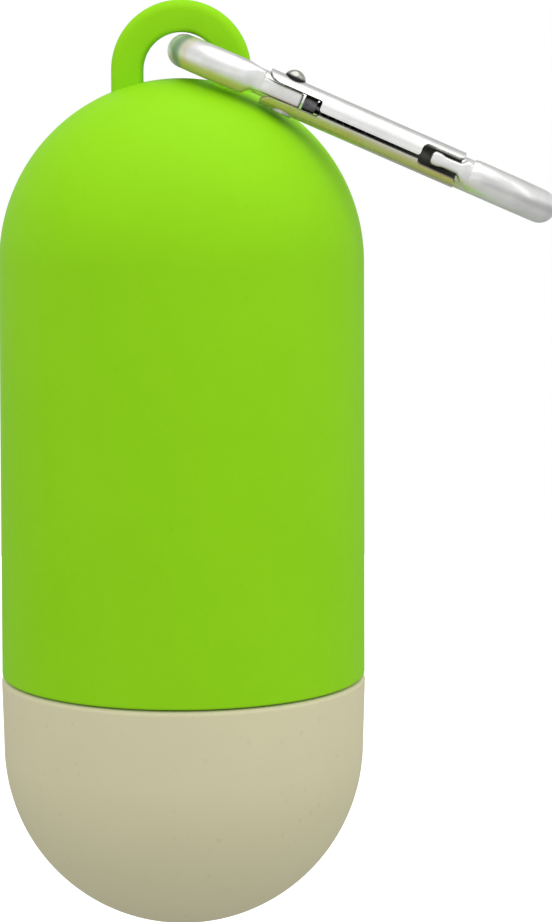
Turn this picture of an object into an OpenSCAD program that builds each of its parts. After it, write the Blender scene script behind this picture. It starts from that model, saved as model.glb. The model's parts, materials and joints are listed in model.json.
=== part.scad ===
// Pocket capsule that hands out dog waste bags, with a wire snap hook through its ring tab.
// Origin: centre of the tab's eye. +Z is up, the tab is flat to XZ, and the hook lies towards +X.

/* [Shell] */
// Outer radius of the shell at the foot of its dome
shell_r = 19.95; // [19.6:0.05:24]
// How much wider the shell grows down to the seam, as moulding draft
shell_draft = 0.25; // [0:0.05:0.5]
// Radius of the bore that the roll stands in
bore_r = 17.6; // [16.5:0.1:17.8]
// Height of the straight tube between the dome and the seam
tube_h = 45.7; // [38:0.1:60]
// Rounding of the shell's edge at the seam
shell_edge_round = 0.35; // [0.2:0.05:1]

/* [Tab] */
// Radius of the eye
eye_r = 4.15; // [4:0.05:5]
// Outer radius of the tab around the eye
tab_r = 7.6; // [7.4:0.1:9]
// Thickness of the tab
tab_t = 3.2; // [2.6:0.1:4]
// Rounding of the tab's outer edges
tab_round = 1.1; // [0.4:0.1:1.2]
// Rounding of the eye's edges
eye_round = 0.5; // [0.2:0.1:1]
// Depth of the dome's top under the centre of the eye
dome_drop = 0.82; // [0.5:0.01:1.5]

/* [Cap] */
// Outer radius of the cap at its rim
cap_rim_r = 20.25; // [20.1:0.05:24.5]
// Outer radius of the cap's round bottom
cap_r = 20.07; // [19.9:0.01:24.2]
// Height of the cap from its rim to the start of the round bottom
cap_skirt_h = 7.9; // [7.5:0.1:12]
// Wall of the cap's round bottom
cap_wall = 1.9; // [1.2:0.1:2.2]
// Gap at the seam between the shell and the cap
seam_gap = 0.15; // [0.1:0.05:0.5]
// Rounding of the cap's rim
cap_rim_round = 0.55; // [0.3:0.05:0.6]
// Radius of the round middle of the bag outlet
outlet_r = 4.5; // [3:0.1:6]
// Number of slots that cross the bag outlet
outlet_slots = 3; // [2:1:4]
// Length of a slot across the bag outlet
outlet_slot_len = 14; // [12:0.5:18]
// Width of a slot of the bag outlet
outlet_slot_w = 1.8; // [1:0.1:3]

/* [Screw thread] */
// Outer radius of the threaded neck under the shell
neck_r = 18.6; // [18.4:0.05:18.8]
// Length of the threaded neck
neck_len = 7; // [6:0.1:8]
// Height of a thread rib
rib_h = 0.4; // [0.2:0.05:0.45]
// Width of a thread rib at its root
rib_root_w = 1.2; // [0.8:0.1:1.4]
// Width of a thread rib at its crest
rib_crest_w = 0.6; // [0.4:0.1:0.8]
// Travel of the cap in one full turn
thread_lead = 8; // [6:0.5:10]
// Number of threads that start side by side
thread_starts = 2; // [1:1:3]
// Angle that each thread rib goes round the neck
rib_sweep = 200; // [90:5:230]
// Radial running clearance between the neck's thread and the cap's
thread_gap = 0.15; // [0.1:0.01:0.3]
// Clearance along the axis between the ribs' flanks
flank_gap = 0.15; // [0.1:0.05:0.4]

/* [Bag roll] */
// Radius of the wound roll of bags
roll_r = 16; // [13:0.1:16.2]
// Length of the roll
roll_len = 58; // [45:0.5:60]
// Outer radius of the cardboard core
core_r = 5.5; // [4.5:0.1:7]
// Wall of the cardboard core
core_wall = 0.8; // [0.5:0.1:1.2]
// Clearance between the roll and the bowl that it stands in
roll_gap = 0.3; // [0.2:0.05:0.5]

/* [Snap hook] */
// Diameter of the hook's wire
wire_d = 3.65; // [3:0.05:3.9]
// Length of the hook between the wire centres of its two bends
hook_len = 42.2; // [36:0.1:52]
// Radius of the bend at each end of the hook, at the wire's centre
bend_r = 7; // [6:0.1:8.5]
// Clearance between the gate and the dome's shoulder where the hook rests
rest_gap = 0.3; // [0.1:0.05:0.6]
// Clearance between the hook's wire and the top of the eye
eye_gap = 0.23; // [0.15:0.01:0.4]
// Distance that the hook's wire stands towards +X of the eye's centre
hook_shift = 0.34; // [0:0.01:0.5]
// Thickness of the flattened hinge tongue
tongue_t = 1.7; // [1.4:0.05:1.8]
// Height of the flattened hinge tongue
tongue_h = 2.9; // [2.4:0.1:3]
// Distance from the end of the hinge bend to the tongue's start
tongue_lead = 0.8; // [0.5:0.1:1.5]
// Distance from the tongue's start to the rivet
tongue_to_rivet = 4.45; // [4.3:0.05:5]
// Distance that the tongue's heel reaches past the rivet
heel_reach = 1.55; // [1.4:0.05:1.7]
// Width of the latch nose's neck
nose_w = 1.2; // [0.8:0.05:1.3]
// Width of the latch nose's head
nose_head_w = 1.5; // [1.2:0.05:1.8]
// Length of the latch nose's head
nose_head_len = 1.2; // [0.8:0.05:1.4]
// Length of the latch nose from the full wire to its tip
nose_len = 4.6; // [4.2:0.1:5.2]
// Depth of the latch nose inside the gate's outer side
nose_depth = 2.8; // [2.4:0.1:3]

/* [Gate] */
// Outer radius of the rolled gate
gate_r = 2; // [1.9:0.05:2.1]
// Thickness of the gate's sheet
gate_sheet = 0.45; // [0.35:0.05:0.5]
// Distance that the gate's ears reach past the rivet
ear_reach = 2.65; // [2.2:0.05:2.8]
// Distance from the rivet to the end of the hinge window
window_reach = 3.65; // [3.2:0.05:4.2]
// Gap between the gate's ears and the tongue's faces, each side
ear_gap = 0.08; // [0.04:0.01:0.1]
// Width of the seam where the rolled edges meet
seam_w = 0.45; // [0.2:0.05:0.6]
// Angle of the rolled seam below the gate's outer line
seam_turn = 13; // [0:1:20]
// Gap between the gate's prongs and the full wire
latch_gap = 1.3; // [1:0.1:2]
// Width of the notch between the gate's prongs
notch_w = 2.6; // [2.2:0.1:2.8]
// Gap between the latch nose's tip and the end of the notch
notch_gap = 1.3; // [1:0.1:1.8]
// Depth of the latch nose's face inside the gate's outer line
nose_sink = 0.2; // [0.15:0.05:0.3]

/* [Rivet, spring and pusher] */
// Radius of the rivet's shank
rivet_r = 0.75; // [0.6:0.05:0.85]
// Running clearance of the rivet in its holes
rivet_gap = 0.05; // [0.02:0.01:0.08]
// Radius of the rivet's formed heads
rivet_head_r = 1.15; // [1:0.05:1.25]
// Height of the rivet's domed upper head
rivet_head_h = 1.1; // [0.4:0.05:1.2]
// Height of the rivet's flat lower head
rivet_tail_h = 0.35; // [0.2:0.05:0.5]
// Radius of the pusher
pusher_r = 1.35; // [1.1:0.05:1.4]
// Length of the pusher's head
pusher_len = 1.4; // [1:0.1:1.8]
// Radius of the pusher's stem inside the spring
stem_r = 0.6; // [0.4:0.05:0.7]
// Length of the pusher's stem
stem_len = 3; // [2:0.1:4]
// Free gap between the tongue's heel and the pusher
heel_gap = 0.25; // [0.2:0.05:0.3]
// Wire diameter of the gate's spring
spring_wire_d = 0.35; // [0.25:0.05:0.4]
// Mean radius of the gate's spring
spring_r = 1.05; // [0.9:0.05:1.15]
// Fitted length of the gate's spring
spring_len = 6; // [5:0.1:7]
// Number of turns of the gate's spring
spring_turns = 7; // [5:1:8]

/* [Hidden] */
$fn = 96;

green = [0.52, 0.85, 0.14];
beige = [0.76, 0.72, 0.6];
film = [0.16, 0.17, 0.18];
card = [0.7, 0.56, 0.4];
zinc = [0.78, 0.79, 0.76];
spring_steel = [0.6, 0.62, 0.65];

// Heights down the capsule
dome_z = -dome_drop - shell_r;
seam_z = dome_z - tube_h;
shell_foot_r = shell_r + shell_draft;
cap_top_z = seam_z - seam_gap;
bowl_z = cap_top_z - cap_skirt_h;
bowl_r = cap_r - cap_wall;
neck_z = seam_z - neck_len;
cap_bore_r = neck_r + rib_h + thread_gap;
cap_bore_end_z = neck_z - roll_gap;
roll_z = bowl_z - sqrt(pow(bowl_r - roll_gap, 2) - pow(roll_r, 2));
shell_wall = shell_r - bore_r;
outlet_depth = 2 * cap_wall + 1;

// Thread: the cap's ribs hang on the neck's ribs, half a start behind them
rib_steps = 28;
rib_bite = 0.3;
neck_rib_z = neck_z + rib_root_w / 2 + 0.3;
rib_flank = (rib_root_w + rib_crest_w) / 2;
cap_rib_z = neck_rib_z + rib_flank + flank_gap;
cap_rib_sweep = rib_sweep - 20;
rib_runout = 0.1;

// Hook, laid out along +X in its own plane, with its gate towards -Y
wire_r = wire_d / 2;
side_len = hook_len - 2 * bend_r;
hook_rise = eye_r - wire_r - eye_gap;
dome_to_hook = sqrt(pow(hook_rise - dome_z, 2) + pow(hook_shift, 2));
rest_height = sqrt(pow(shell_r + gate_r + rest_gap, 2) - pow(bend_r, 2));
hook_slope = atan(hook_shift / (hook_rise - dome_z)) + acos(rest_height / dome_to_hook);
rivet_x = tongue_lead + tongue_to_rivet;
latch_lead = 1.8;
nose_root_x = side_len - latch_lead;
gate_len = nose_root_x - latch_gap - rivet_x;
nose_tip_x = nose_root_x - nose_len - rivet_x;

// Gate, laid out along +X from the rivet
gate_bore_r = gate_r - gate_sheet;
ear_inner = tongue_t / 2 + ear_gap;
head_seat = gate_bore_r + gate_sheet / 2;
rivet_dome_r = 1.25;
notch_start = nose_tip_x - notch_gap;
pusher_x = heel_reach + heel_gap;
spring_x = pusher_x + pusher_len + spring_wire_d / 2 + 0.05;
spring_stop_x = spring_x + spring_len + spring_wire_d / 2 + 0.05;
spring_stop_len = 0.8;
coil_steps = 12;
coil_sides = 8;

// One closed tube of triangles through rings of points, all rings having as many points.
module skin_rings(rings) {
    count = len(rings);
    sides = len(rings[0]);
    points = [for (ring = rings) for (point = ring) point];
    walls = [
        for (i = [0 : count - 2]) for (j = [0 : sides - 1])
        let (a = i * sides + j, b = i * sides + (j + 1) % sides)
        each [[a, b, b + sides], [a, b + sides, a + sides]]
    ];
    start_cap = [[for (j = [sides - 1 : -1 : 0]) j]];
    end_cap = [[for (j = [0 : sides - 1]) (count - 1) * sides + j]];
    polyhedron(points = points, faces = concat(start_cap, walls, end_cap), convexity = 10);
}

// A helical thread rib on a surface of radius root; height is negative where it points inwards.
module thread_rib(root, height, bottom_z, sweep) {
    bite = height > 0 ? rib_bite : -rib_bite;
    rings = [
        for (i = [0 : rib_steps])
        let (turn = sweep * i / rib_steps, rise = bottom_z + thread_lead * turn / 360)
        let (fade = min(1, 4 * min(i + 0.4, rib_steps - i + 0.4) / rib_steps))
        let (crest = root + height * fade)
        let (section = [
            [root - bite, rise - rib_root_w / 2], [crest, rise - rib_crest_w / 2],
            [crest, rise + rib_crest_w / 2], [root - bite, rise + rib_root_w / 2]
        ])
        [for (p = section) [p[0] * cos(turn), p[0] * sin(turn), p[1]]]
    ];
    ordered = height > 0 ? rings : [for (ring = rings) [for (j = [3 : -1 : 0]) ring[j]]];
    skin_rings(ordered);
}

module thread_ribs(root, height, bottom_z, sweep) {
    for (i = [0 : thread_starts - 1]) {
        rotate(360 * i / thread_starts) thread_rib(root, height, bottom_z, sweep);
    }
}

// The shell's outer shape, from the dome's top to the rounded edge at the seam.
module shell_outline() {
    translate([0, dome_z]) intersection() {
        circle(r = shell_r);
        square(shell_r);
    }
    polygon([
        [0, dome_z], [shell_r, dome_z], [shell_foot_r, seam_z + shell_edge_round],
        [shell_foot_r - shell_edge_round, seam_z], [0, seam_z]
    ]);
    translate([shell_foot_r - shell_edge_round, seam_z + shell_edge_round]) circle(r = shell_edge_round);
    translate([0, neck_z]) square([neck_r, neck_len]);
}

module shell_bore() {
    translate([0, dome_z]) intersection() {
        circle(r = bore_r);
        square(bore_r);
    }
    translate([0, neck_z - 1]) square([bore_r, dome_z - neck_z + 1]);
}

// Section of the tab, from the eye's edge to its outer edge.
module tab_section() {
    web = tab_t / 2;
    inner_x = eye_r + eye_round;
    outer_x = tab_r - tab_round;
    translate([inner_x, -web]) square([outer_x - inner_x, tab_t]);
    translate([eye_r, eye_round - web]) square([eye_round, tab_t - 2 * eye_round]);
    translate([outer_x, tab_round - web]) square([tab_round, tab_t - 2 * tab_round]);
    for (side = [-1, 1]) {
        translate([inner_x, side * (web - eye_round)]) circle(r = eye_round);
        translate([outer_x, side * (web - tab_round)]) circle(r = tab_round);
    }
}

// Ring tab: half a ring over the eye, with two straight legs down into the dome.
module tab() {
    leg = dome_drop + shell_wall + 1;
    rotate([90, 0, 0]) rotate_extrude(angle = 180) tab_section();
    for (side = [0, 180]) {
        rotate(side) translate([0, 0, -leg]) linear_extrude(leg) tab_section();
    }
}

module body_shell() {
    color(green) {
        difference() {
            union() {
                rotate_extrude() shell_outline();
                tab();
            }
            rotate_extrude() shell_bore();
        }
        thread_ribs(neck_r, rib_h, neck_rib_z, rib_sweep);
    }
}

// The cap's outer shape: a round bottom under a short skirt with a rounded rim.
module cap_outline() {
    translate([0, bowl_z]) intersection() {
        circle(r = cap_r);
        translate([0, -cap_r]) square(cap_r);
    }
    polygon([
        [0, bowl_z], [cap_r, bowl_z], [cap_rim_r, cap_top_z - cap_rim_round],
        [cap_rim_r - cap_rim_round, cap_top_z], [0, cap_top_z]
    ]);
    translate([cap_rim_r - cap_rim_round, cap_top_z - cap_rim_round]) circle(r = cap_rim_round);
}

module cap_bore() {
    translate([0, bowl_z]) circle(r = bowl_r);
    translate([0, cap_bore_end_z]) square([cap_bore_r, cap_top_z - cap_bore_end_z + 1]);
}

module bag_outlet() {
    translate([0, 0, bowl_z - cap_r - 1]) {
        cylinder(r = outlet_r, h = outlet_depth);
        for (i = [0 : outlet_slots - 1]) {
            rotate(180 * i / outlet_slots) translate([-outlet_slot_len / 2, -outlet_slot_w / 2, 0])
                cube([outlet_slot_len, outlet_slot_w, outlet_depth]);
        }
    }
}

module bottom_cap() {
    color(beige) {
        difference() {
            rotate_extrude() cap_outline();
            rotate_extrude() intersection() {
                cap_bore();
                translate([0, bowl_z - cap_r]) square([cap_rim_r, 2 * cap_r]);
            }
            bag_outlet();
        }
        intersection() {
            rotate(10) thread_ribs(cap_bore_r, -rib_h, cap_rib_z, cap_rib_sweep);
            translate([0, 0, bowl_z]) cylinder(r = cap_rim_r, h = cap_skirt_h - rib_runout);
        }
    }
}

module bag_roll() {
    color(film) translate([0, 0, roll_z]) difference() {
        cylinder(r = roll_r, h = roll_len);
        translate([0, 0, -1]) cylinder(r = core_r + 0.05, h = roll_len + 2);
    }
}

module roll_core() {
    color(card) translate([0, 0, roll_z]) difference() {
        cylinder(r = core_r, h = roll_len);
        translate([0, 0, -1]) cylinder(r = core_r - core_wall, h = roll_len + 2);
    }
}

// Puts children from the hook's own plane into the eye, sloping down to the dome's shoulder.
module in_hook() {
    translate([hook_shift, 0, hook_rise]) rotate([0, hook_slope, 0]) children();
}

// Puts children on the hook's gate side, with x counted from the end of the hinge's bend.
module on_gate_side() {
    in_hook() translate([bend_r, -bend_r, 0]) children();
}

// Puts children at the rivet, with x along the gate.
module at_rivet() {
    on_gate_side() translate([rivet_x, 0, 0]) children();
}

module rod_x(radius, from, to) {
    translate([from, 0, 0]) rotate([0, 90, 0]) cylinder(r = radius, h = to - from);
}

module block(low, high) {
    translate(low) cube(high - low);
}

// A half turn of the wire about the centre of a hook's end.
module wire_bend(from) {
    rotate(from) rotate_extrude(angle = 180) translate([bend_r, 0]) circle(r = wire_r);
}

module hinge_tongue() {
    difference() {
        block([tongue_lead / 2, -tongue_h / 2, -tongue_t / 2],
              [rivet_x + heel_reach, tongue_h / 2, tongue_t / 2]);
        translate([rivet_x, 0, -tongue_t]) cylinder(r = rivet_r + rivet_gap, h = 2 * tongue_t);
    }
}

module latch_nose() {
    outer = -gate_r + nose_sink;
    head_x = nose_root_x - nose_len;
    block([head_x, outer, -nose_w / 2], [nose_root_x + 0.5, outer + nose_depth, nose_w / 2]);
    block([head_x, outer, -nose_head_w / 2],
          [head_x + nose_head_len, outer + nose_depth, nose_head_w / 2]);
}

module carabiner_frame() {
    color(zinc) {
        in_hook() {
            translate([bend_r, 0, 0]) wire_bend(90);
            translate([bend_r, bend_r, 0]) rod_x(wire_r, 0, side_len);
            translate([hook_len - bend_r, 0, 0]) wire_bend(-90);
        }
        on_gate_side() {
            rod_x(wire_r, 0, tongue_lead);
            hinge_tongue();
            rod_x(wire_r, nose_root_x, side_len);
            latch_nose();
        }
    }
}

// The rolled sheet, open at its hinge window, its seam and its latch notch.
module gate_sleeve() {
    color(zinc) at_rivet() {
        difference() {
            rod_x(gate_r, -ear_reach, gate_len);
            rod_x(gate_bore_r, -ear_reach - 1, gate_len + 1);
            block([-ear_reach - 1, -gate_r - 1, -ear_inner], [window_reach, gate_r + 1, ear_inner]);
            translate([0, 0, -gate_r]) cylinder(r = rivet_r + rivet_gap, h = 2 * gate_r);
            for (side = [0, 180]) {
                rotate([side, 0, 0]) translate([0, 0, head_seat])
                    cylinder(r = rivet_head_r + rivet_gap, h = gate_r);
            }
            rotate([seam_turn, 0, 0]) block([0, -gate_r - 1, -seam_w / 2], [notch_start + 1, 0, seam_w / 2]);
            block([notch_start, -gate_r - 1, -notch_w / 2], [gate_len + 1, 0, notch_w / 2]);
        }
        spring_stop();
    }
}

// A tab pressed in from the inner side of the sleeve for the spring to push against.
module spring_stop() {
    intersection() {
        rod_x(gate_bore_r + 0.1, spring_stop_x, spring_stop_x + spring_stop_len);
        block([spring_stop_x, 0.1, -gate_r], [spring_stop_x + spring_stop_len, gate_r, gate_r]);
    }
}

module gate_rivet() {
    color(zinc) at_rivet() {
        translate([0, 0, -head_seat]) cylinder(r = rivet_r, h = 2 * head_seat);
        translate([0, 0, head_seat]) intersection() {
            cylinder(r = rivet_head_r, h = rivet_head_h);
            translate([0, 0, rivet_head_h - rivet_dome_r]) sphere(r = rivet_dome_r);
        }
        translate([0, 0, -head_seat - rivet_tail_h]) cylinder(r = rivet_head_r, h = rivet_tail_h);
    }
}

module gate_spring() {
    steps = spring_turns * coil_steps;
    rings = [
        for (i = [0 : steps])
        let (turn = 360 * i / coil_steps, run = spring_x + spring_len * i / steps)
        [for (j = [0 : coil_sides - 1])
            let (a = 360 * j / coil_sides, out = spring_r + spring_wire_d / 2 * cos(a))
            [run + spring_wire_d / 2 * sin(a), out * cos(turn), out * sin(turn)]]
    ];
    color(spring_steel) at_rivet() skin_rings(rings);
}

module gate_plunger() {
    color(spring_steel) at_rivet() {
        rod_x(pusher_r, pusher_x, pusher_x + pusher_len);
        rod_x(stem_r, pusher_x, pusher_x + pusher_len + stem_len);
    }
}

body_shell();
bottom_cap();
bag_roll();
roll_core();
carabiner_frame();
gate_sleeve();
gate_rivet();
gate_spring();
gate_plunger();
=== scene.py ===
"""Looks of a capsule that hands out dog waste bags, with a wire snap hook in its ring tab.

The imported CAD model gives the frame. Each sub-assembly below builds finished meshes for its own
pieces, dresses them in procedural materials, and rides them on the CAD bodies.
"""
import json
import logging
import math
import random
from dataclasses import dataclass
from enum import Enum
from functools import cache
from typing import Iterable, Sequence
import bmesh
import bpy
from mathutils import Matrix, Vector


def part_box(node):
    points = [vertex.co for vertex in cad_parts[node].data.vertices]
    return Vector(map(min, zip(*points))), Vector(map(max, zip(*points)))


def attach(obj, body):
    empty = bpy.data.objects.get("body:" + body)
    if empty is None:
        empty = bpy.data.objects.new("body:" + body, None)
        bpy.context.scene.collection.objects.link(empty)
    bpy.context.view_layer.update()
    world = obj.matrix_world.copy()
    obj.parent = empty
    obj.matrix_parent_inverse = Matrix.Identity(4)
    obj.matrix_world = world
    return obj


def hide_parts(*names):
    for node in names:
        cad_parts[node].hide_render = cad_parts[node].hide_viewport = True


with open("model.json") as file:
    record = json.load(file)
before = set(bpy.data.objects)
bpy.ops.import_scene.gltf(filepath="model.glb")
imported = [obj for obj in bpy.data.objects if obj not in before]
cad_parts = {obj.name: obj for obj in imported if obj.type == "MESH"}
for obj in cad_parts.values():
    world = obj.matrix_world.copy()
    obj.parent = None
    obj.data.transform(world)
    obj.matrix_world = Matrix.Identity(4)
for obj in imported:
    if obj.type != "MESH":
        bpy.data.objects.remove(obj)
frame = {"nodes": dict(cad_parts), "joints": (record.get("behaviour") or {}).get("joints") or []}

LOG = logging.getLogger("bag_dispenser")
MM = 0.001
INSIDE = "inside"
Point = tuple[float, float]
Triple = tuple[float, float, float]
Colour = Triple


class Slot(Enum):
    """The part's material slots."""

    GREEN = "green_plastic"
    BEIGE = "beige_plastic"
    FILM = "bag_film"
    CARD = "core_card"
    WIRE = "zinc_wire"
    SHEET = "zinc_sheet"
    SPRING = "spring_steel"


class Join(Enum):
    """Ways in which one solid works on another."""

    ADD = "UNION"
    CUT = "DIFFERENCE"


class Ease(Enum):
    """What a solid's rounding works on."""

    EDGES = "EDGES"
    CORNERS = "VERTICES"


# --------------------------------------------------------------------------- shader maths


class Sig:
    """A number or vector socket that takes part in Python arithmetic."""

    def __init__(self, graph: "Graph", socket: bpy.types.NodeSocket) -> None:
        """Keeps the socket and the graph that it belongs to."""
        self.graph = graph
        self.socket = socket

    def _math(self, operation: str, *values: "Sig | float") -> "Sig":
        """Adds one Math node.

        Args:
            operation: The node's operation.
            values: Its inputs, in order.

        Returns:
            The node's result.
        """
        return self.graph.add("ShaderNodeMath", {"operation": operation}, dict(enumerate(values)))

    def __add__(self, other: "Sig | float") -> "Sig":
        """Sum."""
        return self._math("ADD", self, other)

    def __radd__(self, other: float) -> "Sig":
        """Reflected sum."""
        return self._math("ADD", other, self)

    def __sub__(self, other: "Sig | float") -> "Sig":
        """Difference."""
        return self._math("SUBTRACT", self, other)

    def __rsub__(self, other: float) -> "Sig":
        """Reflected difference."""
        return self._math("SUBTRACT", other, self)

    def __mul__(self, other: "Sig | float") -> "Sig":
        """Product."""
        return self._math("MULTIPLY", self, other)

    def __rmul__(self, other: float) -> "Sig":
        """Reflected product."""
        return self._math("MULTIPLY", other, self)

    def above(self, edge: float, soft: float) -> "Sig":
        """A soft step.

        Args:
            edge: Value at the middle of the step.
            soft: Half the width of the step.

        Returns:
            0 below the step and 1 above it.
        """
        settings = {"interpolation_type": "SMOOTHSTEP"}
        ends = {"Value": self, "From Min": edge - soft, "From Max": edge + soft}
        return self.graph.add("ShaderNodeMapRange", settings, ends)


class Graph:
    """A node tree, written as expressions."""

    def __init__(self, tree: bpy.types.NodeTree) -> None:
        """Empties the tree."""
        self.tree = tree
        self.tree.nodes.clear()

    def add(self, kind: str, settings: dict, inputs: dict, output: int | str = 0) -> Sig:
        """Adds one node of any kind.

        Args:
            kind: The node's type.
            settings: Properties set before anything is linked; "stops" fills a colour ramp.
            inputs: A value or a Sig for each socket, by name or by number.
            output: Which output to hand back.

        Returns:
            The chosen output.
        """
        node = self.tree.nodes.new(kind)
        for key, value in settings.items():
            if key == "stops":
                self._fill(node.color_ramp, value)
            else:
                setattr(node, key, value)
        for key, value in inputs.items():
            socket = node.inputs[key]
            if isinstance(value, Sig):
                self.tree.links.new(value.socket, socket)
            elif socket.type == "RGBA":
                socket.default_value = (*value, 1.0)
            else:
                socket.default_value = value
        return Sig(self, node.outputs[output]) if node.outputs else Sig(self, node.inputs[0])

    def _fill(self, ramp: bpy.types.ColorRamp, stops: Sequence[tuple[float, Colour]]) -> None:
        """Gives a colour ramp its stops.

        Args:
            ramp: The ramp.
            stops: Place and colour of each stop.
        """
        while len(ramp.elements) < len(stops):
            ramp.elements.new(0.5)
        for element, (place, colour) in zip(ramp.elements, stops):
            element.position = place
            element.color = (*colour, 1.0)

    def place(self, scale: Sequence[float] = (1.0, 1.0, 1.0)) -> Sig:
        """Object coordinates, stretched by scale."""
        here = self.add("ShaderNodeTexCoord", {}, {}, "Object")
        return self.add("ShaderNodeMapping", {}, {"Vector": here, "Scale": tuple(scale)})

    def noise(self, size: float, detail: float = 2.0, rough: float = 0.5,
              scale: Sequence[float] = (1.0, 1.0, 1.0)) -> Sig:
        """Noise whose features are about size metres across.

        Args:
            size: Size of its features, in metres.
            detail: Number of its finer layers.
            rough: Strength of the finer layers.
            scale: Stretch of the coordinates.

        Returns:
            The noise, from 0 to 1.
        """
        inputs = {"Vector": self.place(scale), "Scale": 1.0 / size, "Detail": detail,
                  "Roughness": rough}
        return self.add("ShaderNodeTexNoise", {}, inputs, 0)

    def cells(self, size: float) -> Sig:
        """Distance to the nearest of points that lie about size metres apart."""
        inputs = {"Vector": self.place(), "Scale": 1.0 / size}
        return self.add("ShaderNodeTexVoronoi", {}, inputs, "Distance")

    def mix(self, share: Sig | float, first: Sig | Colour, second: Sig | Colour) -> Sig:
        """Mixes two colours by share."""
        return self.add("ShaderNodeMix", {"data_type": "RGBA"}, {0: share, 6: first, 7: second}, 2)

    def bump(self, height: Sig, depth: float, strength: float = 1.0) -> Sig:
        """Turns a height from 0 to 1 into a bump depth metres deep."""
        inputs = {"Height": height, "Distance": depth, "Strength": strength}
        return self.add("ShaderNodeBump", {}, inputs)

    def principled(self, **sockets: Sig | float | Colour) -> None:
        """Closes a material with its shader.

        Args:
            sockets: Values or links of the shader's sockets, with _ for a space.
        """
        inputs = {key.replace("_", " "): value for key, value in sockets.items()}
        shader = self.add("ShaderNodeBsdfPrincipled", {}, inputs)
        self.add("ShaderNodeOutputMaterial", {}, {"Surface": shader})


def material(name: str) -> tuple[bpy.types.Material, Graph]:
    """A new material and its empty graph.

    Args:
        name: The material's name.

    Returns:
        The material and its graph.
    """
    made = bpy.data.materials.new(name)
    made.use_nodes = True
    return made, Graph(made.node_tree)


# --------------------------------------------------------------------------- finishes


def joint_of(name: str) -> dict:
    """The frame's record of one joint."""
    return next(joint for joint in frame["joints"] if joint["name"] == name)


@dataclass(frozen=True)
class Finish:
    """A procedural material with a name of its own."""

    name: str

    def make(self) -> bpy.types.Material:
        """Builds the material.

        Returns:
            The material.
        """
        made, graph = material(self.name)
        self.paint(graph)
        return made

    def paint(self, graph: Graph) -> None:
        """Lays out the shader."""
        raise NotImplementedError


@dataclass(frozen=True)
class MouldedPlastic(Finish):
    """Satin plastic, with a fine mould grain, faint clouds and specks of another shade."""

    colour: Colour
    cloud: Colour
    speck: Colour
    speck_share: float
    roughness: float
    specular: float

    def paint(self, graph: Graph) -> None:
        """Lays out the shader.

        Args:
            graph: The material's empty graph.
        """
        clouds = graph.noise(0.011, 3.0, 0.55)
        mottle = graph.noise(0.0022, 2.0, 0.6)
        tone = graph.mix((clouds * 0.7 + mottle * 0.3).above(0.5, 0.28), self.colour, self.cloud)
        dots = 1.0 - graph.cells(0.0016).above(0.16, 0.07)
        specks = dots * graph.noise(0.004).above(0.5, 0.1)
        grain = graph.noise(0.00028, 2.0, 0.6)
        flow = graph.noise(0.006, 1.0, 0.5)
        graph.principled(
            Base_Color=graph.mix(specks * self.speck_share, tone, self.speck),
            Roughness=self.roughness + 0.1 * (mottle - 0.5) + 0.12 * (grain - 0.5),
            Specular_IOR_Level=self.specular,
            Normal=graph.bump(grain * 0.75 + flow * 0.25, 0.00004, 0.5),
        )


def hook_spot(graph: Graph, axis: int) -> Sig:
    """Distance in millimetres along one of the hook's own axes, with the hook at rest.

    Args:
        graph: The material's graph.
        axis: 0 along the hook, 1 across it, 2 square to its plane.

    Returns:
        The distance from the middle of the wire in the eye.
    """
    row = hook_place().inverted()[axis]
    inputs = {0: graph.place(), 1: tuple(row[:3])}
    reach = graph.add("ShaderNodeVectorMath", {"operation": "DOT_PRODUCT"}, inputs, "Value")
    return (reach + row[3]) * (1 / MM)


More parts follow.
